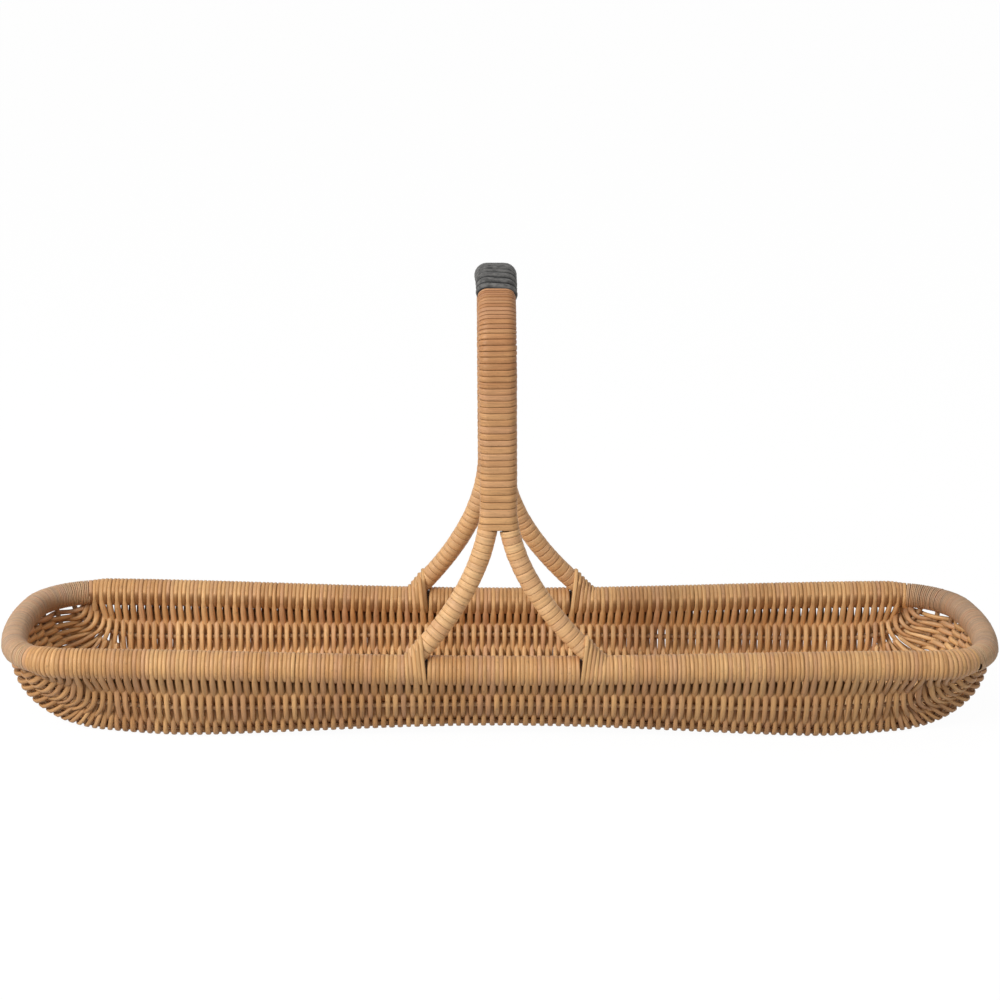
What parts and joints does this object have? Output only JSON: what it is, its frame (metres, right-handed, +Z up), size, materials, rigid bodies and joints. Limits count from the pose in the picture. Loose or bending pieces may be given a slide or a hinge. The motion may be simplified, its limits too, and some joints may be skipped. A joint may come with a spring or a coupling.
{
  "type": "flower basket",
  "caption": "Long shallow woven trug on a bent-rod rim, with a tall arched double-rod handle, splayed legs and a leather-wrapped grip.",
  "frame": {"origin": "on the surface that the basket stands on, under the middle of its base", "axes": "+X along the basket, +Y from its front side to its back side, +Z up"},
  "size_m": [0.8, 0.184, 0.3633],
  "materials": {
    "woven_cane": "satin natural cane, woven",
    "rim_cane": "satin natural cane",
    "end_cane": "fine wound cane, satin",
    "handle_cane": "flat cane strip, satin",
    "pole_wood": "bare bent rattan pole",
    "grip_leather": "matt charcoal leather strap",
    "brad_steel": "plain steel"
  },
  "bodies": {
    "root": {"band_wrap_back": "handle_cane", "band_wrap_front": "handle_cane", "foot_brad_back_left": "brad_steel", "foot_brad_back_right": "brad_steel", "foot_brad_front_left": "brad_steel", "foot_brad_front_right": "brad_steel", "foot_lashing_back_left": "rim_cane", "foot_lashing_back_right": "rim_cane", "foot_lashing_front_left": "rim_cane", "foot_lashing_front_right": "rim_cane", "grip_wrap": "grip_leather", "handle_rod_left": "pole_wood", "handle_rod_right": "pole_wood", "leg_wrap_back_left": "handle_cane", "leg_wrap_back_right": "handle_cane", "leg_wrap_front_left": "handle_cane", "leg_wrap_front_right": "handle_cane", "rib_01": "pole_wood", "rib_02": "pole_wood", "rib_03": "pole_wood", "rib_04": "pole_wood", "rib_05": "pole_wood", "rib_06": "pole_wood", "rib_07": "pole_wood", "rib_08": "pole_wood", "rib_09": "pole_wood", "rib_10": "pole_wood", "rib_11": "pole_wood", "rim_end_wrap_left": "end_cane", "rim_end_wrap_right": "end_cane", "rim_pole": "pole_wood", "rim_side_wrap_back_left": "rim_cane", "rim_side_wrap_back_middle": "rim_cane", "rim_side_wrap_back_right": "rim_cane", "rim_side_wrap_front_left": "rim_cane", "rim_side_wrap_front_middle": "rim_cane", "rim_side_wrap_front_right": "rim_cane", "scarf_brad_1": "brad_steel", "scarf_brad_2": "brad_steel", "woven_tray": "woven_cane"}
  },
  "joints": []
}
